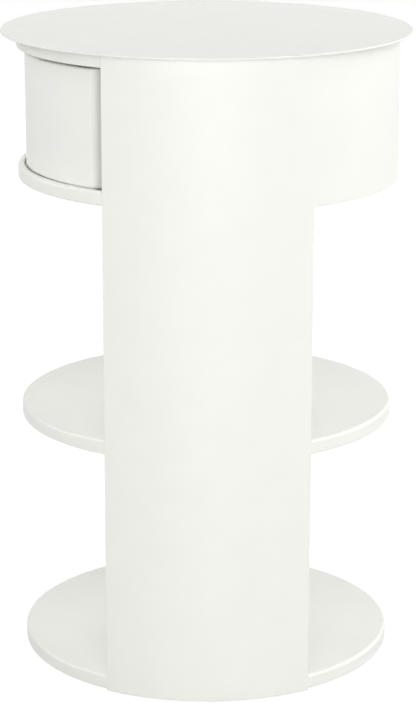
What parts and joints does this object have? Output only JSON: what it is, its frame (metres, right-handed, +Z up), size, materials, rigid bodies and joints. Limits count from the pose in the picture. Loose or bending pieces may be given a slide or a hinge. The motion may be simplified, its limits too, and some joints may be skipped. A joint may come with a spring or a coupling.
{
  "type": "round end table",
  "caption": "Tall round end table of painted sheet steel: thin round top, drum compartment with a curved sliding door, two round shelves and two broad curved legs.",
  "frame": {"origin": "on the floor, under the middle of the round top", "axes": "+Z up, the door opening faces -X, the two legs stand on the -Y and +Y sides"},
  "size_m": [0.4, 0.4, 0.626],
  "materials": {
    "painted_steel": "satin powder coat, warm white",
    "plated_steel": "zinc plated",
    "rivet_metal": "plain",
    "nylon": "moulded, natural white",
    "rubber": "matt black"
  },
  "bodies": {
    "frame": {"top_disc": "painted_steel", "upper_plate": "painted_steel", "upper_rim": "painted_steel", "wrap_sheet": "painted_steel", "drum_floor": "painted_steel", "drum_rim": "painted_steel", "mid_shelf": "painted_steel", "bottom_shelf": "painted_steel", "floor_rail": "painted_steel", "guide_track": "nylon", "track_rivets": "rivet_metal", "stop_bolts": "plated_steel", "stop_sleeves": "rubber", "stop_nuts": "plated_steel", "wall_studs": "plated_steel", "wall_washers": "plated_steel", "wall_nuts": "plated_steel", "top_studs": "plated_steel", "top_washers": "plated_steel", "top_nuts": "plated_steel", "glide_studs": "plated_steel", "floor_glides": "nylon"},
    "door": {"door_skin": "painted_steel", "door_liner": "painted_steel", "liner_rivets": "rivet_metal", "door_pads": "nylon", "door_guides": "nylon", "guide_rivets": "rivet_metal"}
  },
  "joints": [
    {"name": "door_turn", "type": "hinge", "parent": "frame", "child": "door", "pos_m": [0, 0, 0.553], "axis": [0, 0, 1], "range_deg": [-114.5, 114.5]}
  ]
}
